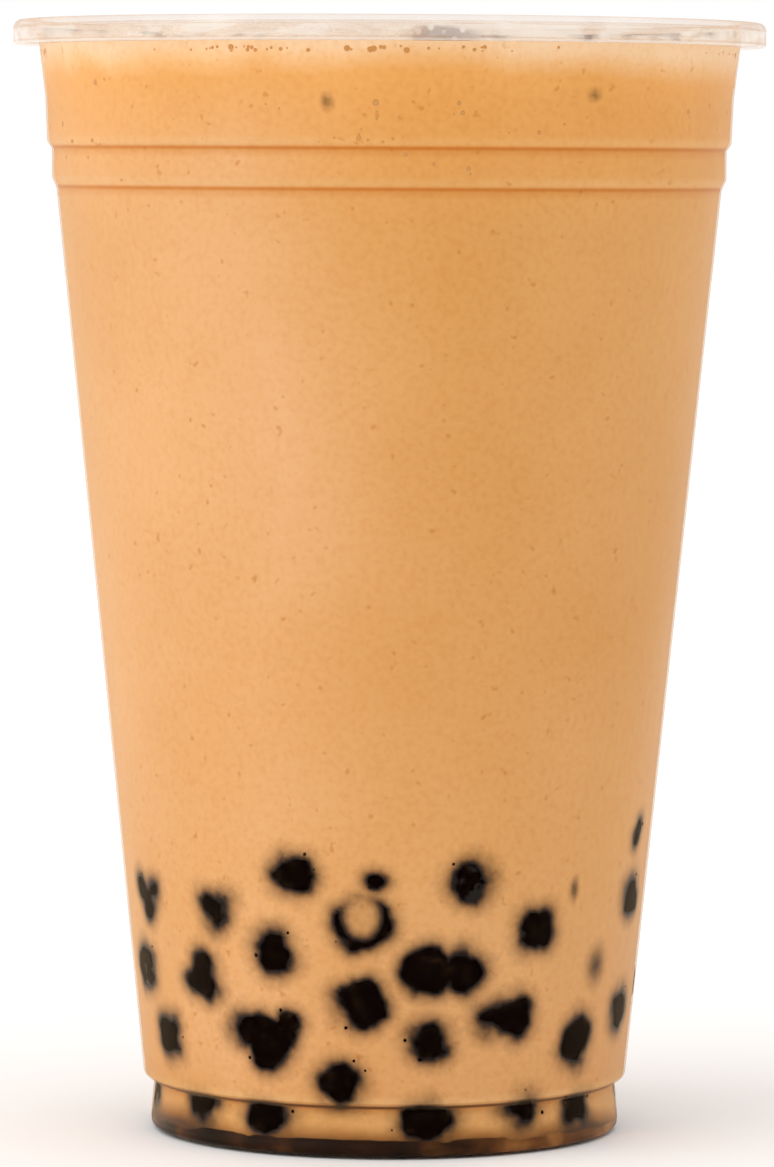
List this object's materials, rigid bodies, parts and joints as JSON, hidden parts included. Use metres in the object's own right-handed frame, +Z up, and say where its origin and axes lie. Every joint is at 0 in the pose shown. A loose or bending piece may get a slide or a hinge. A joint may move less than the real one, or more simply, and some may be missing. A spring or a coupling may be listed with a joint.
{
  "type": "bubble tea in a plastic cup",
  "caption": "Tall tapered takeaway cup of milk tea with a flanged rim, stacking bands and a narrow foot, with tapioca pearls and dark syrup at the bottom.",
  "frame": {"origin": "centre of the ring that the cup stands on, at table height", "axes": "+Z up along the axis of the cup"},
  "size_m": [0.095, 0.095, 0.1404],
  "materials": {
    "cup_plastic": "thin translucent moulded polypropylene, glossy, slightly milky",
    "milk_tea": "opaque milk tea, smooth and wet",
    "tapioca": "wet black tapioca pearls, soft and glossy",
    "brown_sugar_syrup": "dark brown sugar syrup, glossy"
  },
  "bodies": {
    "root": {"cup": "cup_plastic", "milk_tea": "milk_tea", "tapioca_pearls": "tapioca", "syrup": "brown_sugar_syrup"}
  },
  "joints": []
}
